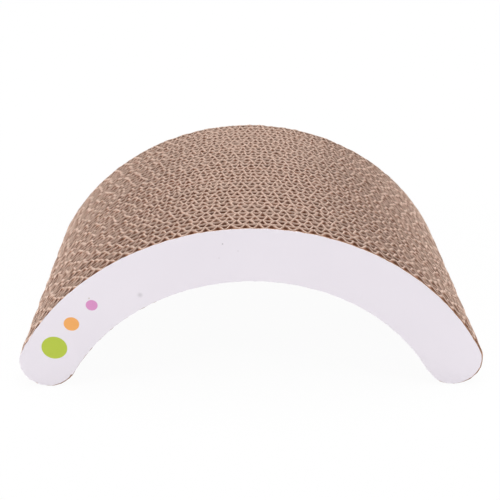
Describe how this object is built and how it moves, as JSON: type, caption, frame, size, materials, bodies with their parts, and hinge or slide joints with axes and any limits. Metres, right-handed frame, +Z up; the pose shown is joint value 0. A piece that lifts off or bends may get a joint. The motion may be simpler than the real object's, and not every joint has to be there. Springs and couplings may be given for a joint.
{
  "type": "cardboard cat scratcher",
  "caption": "Arch of stacked fluted cardboard boards between smooth printed cover sheets, standing on two round feet; a cat scratches its curved top or walks under it.",
  "frame": {"origin": "on the floor, midway between the two feet and midway between the front and back covers", "axes": "+X from the left foot to the right foot seen from the front, +Y from the front cover to the back cover, +Z up"},
  "size_m": [0.42, 0.27, 0.159],
  "materials": {
    "corrugated_board": "raw cut kraft board",
    "printed_cover": "smooth satin print"
  },
  "bodies": {
    "root": {"board_01": "corrugated_board", "board_02": "corrugated_board", "board_03": "corrugated_board", "board_04": "corrugated_board", "board_05": "corrugated_board", "board_06": "corrugated_board", "board_07": "corrugated_board", "board_08": "corrugated_board", "board_09": "corrugated_board", "board_10": "corrugated_board", "board_11": "corrugated_board", "board_12": "corrugated_board", "board_13": "corrugated_board", "board_14": "corrugated_board", "board_15": "corrugated_board", "board_16": "corrugated_board", "board_17": "corrugated_board", "board_18": "corrugated_board", "board_19": "corrugated_board", "board_20": "corrugated_board", "board_21": "corrugated_board", "board_22": "corrugated_board", "board_23": "corrugated_board", "board_24": "corrugated_board", "board_25": "corrugated_board", "board_26": "corrugated_board", "board_27": "corrugated_board", "board_28": "corrugated_board", "board_29": "corrugated_board", "board_30": "corrugated_board", "board_31": "corrugated_board", "board_32": "corrugated_board", "board_33": "corrugated_board", "board_34": "corrugated_board", "front_cover": "printed_cover", "back_cover": "printed_cover"}
  },
  "joints": []
}
